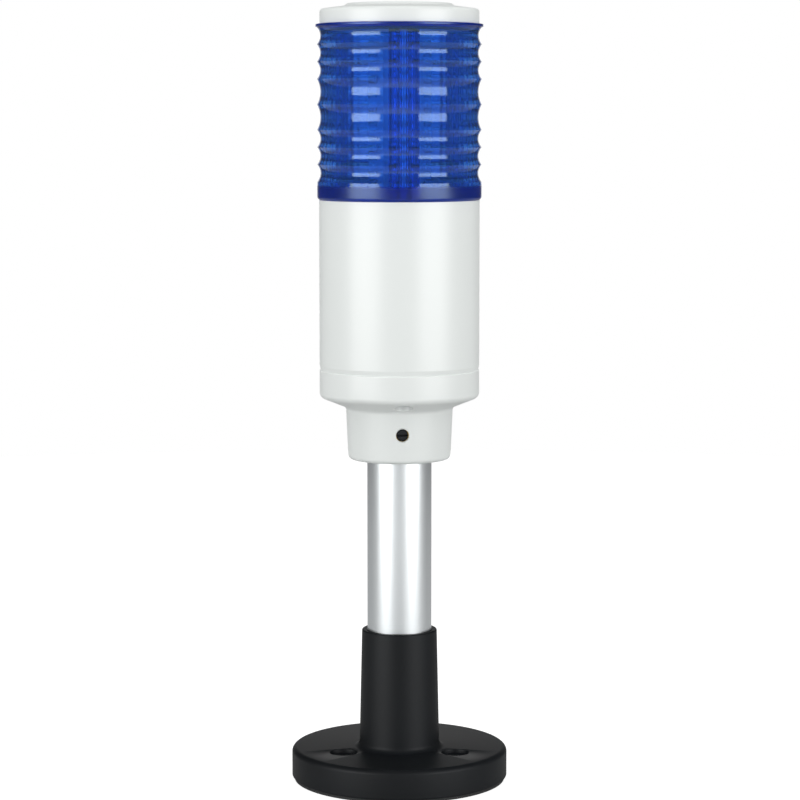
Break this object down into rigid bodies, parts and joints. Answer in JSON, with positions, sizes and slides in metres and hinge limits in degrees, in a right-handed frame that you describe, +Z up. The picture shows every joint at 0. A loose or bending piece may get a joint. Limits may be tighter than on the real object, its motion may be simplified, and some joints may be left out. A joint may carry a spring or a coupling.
{
  "type": "stack light",
  "caption": "Signal light with a transparent ribbed lens over a round white case, turning on a bare metal pole in a round screw-down base.",
  "frame": {"origin": "centre of the base's underside, on the surface it is screwed to", "axes": "+Z up along the pole, -Y to the front, where the collar's set screw is, +X to the right seen from the front"},
  "size_m": [0.074, 0.074, 0.2651],
  "materials": {
    "black_moulding": "fine moulded grain",
    "seal_rubber": "dull",
    "pole_aluminium": "drawn, natural anodised",
    "steel_screw": "zinc plated",
    "dark_steel": "blackened",
    "white_moulding": "satin moulded",
    "brass_insert": "turned",
    "board_green": "solder mask on glass-fibre board",
    "board_white": "white solder mask",
    "terminal_green": "moulded",
    "black_component": "moulded",
    "film_yellow": "moulded case",
    "tinned_pin": "tinned",
    "core_white": "moulded",
    "diode_clear": "clear epoxy",
    "lens_blue": "polished transparent moulding"
  },
  "bodies": {
    "stand": {"base_gasket": "seal_rubber", "base_flange": "black_moulding", "pole": "pole_aluminium", "pole_screw": "steel_screw"},
    "head": {"lower_housing": "white_moulding", "collar_insert": "brass_insert", "collar_set_screw": "dark_steel", "housing_seal": "seal_rubber", "body_housing": "white_moulding", "driver_board": "board_green", "terminal_block": "terminal_green", "terminal_screws": "steel_screw", "smoothing_capacitor": "black_component", "film_capacitor": "film_yellow", "choke": "black_component", "rectifier": "black_component", "link_header": "black_component", "link_pins": "tinned_pin", "board_screws": "steel_screw", "core_board": "board_white", "core_holder": "core_white", "holder_screw": "steel_screw", "strip_resistors": "black_component", "lens_seal": "seal_rubber", "lens": "lens_blue", "cap_seal": "seal_rubber", "cap_nuts": "brass_insert", "top_cap": "white_moulding", "tie_screws": "steel_screw", "strip_board_1": "board_white", "diodes_1": "diode_clear", "strip_board_2": "board_white", "diodes_2": "diode_clear", "strip_board_3": "board_white", "diodes_3": "diode_clear", "strip_board_4": "board_white", "diodes_4": "diode_clear", "strip_board_5": "board_white", "diodes_5": "diode_clear", "strip_board_6": "board_white", "diodes_6": "diode_clear"}
  },
  "joints": [
    {"name": "head_turn", "type": "hinge", "parent": "stand", "child": "head", "pos_m": [0, 0, 0.123], "axis": [0, 0, 1], "range_deg": [-180, 180]}
  ]
}
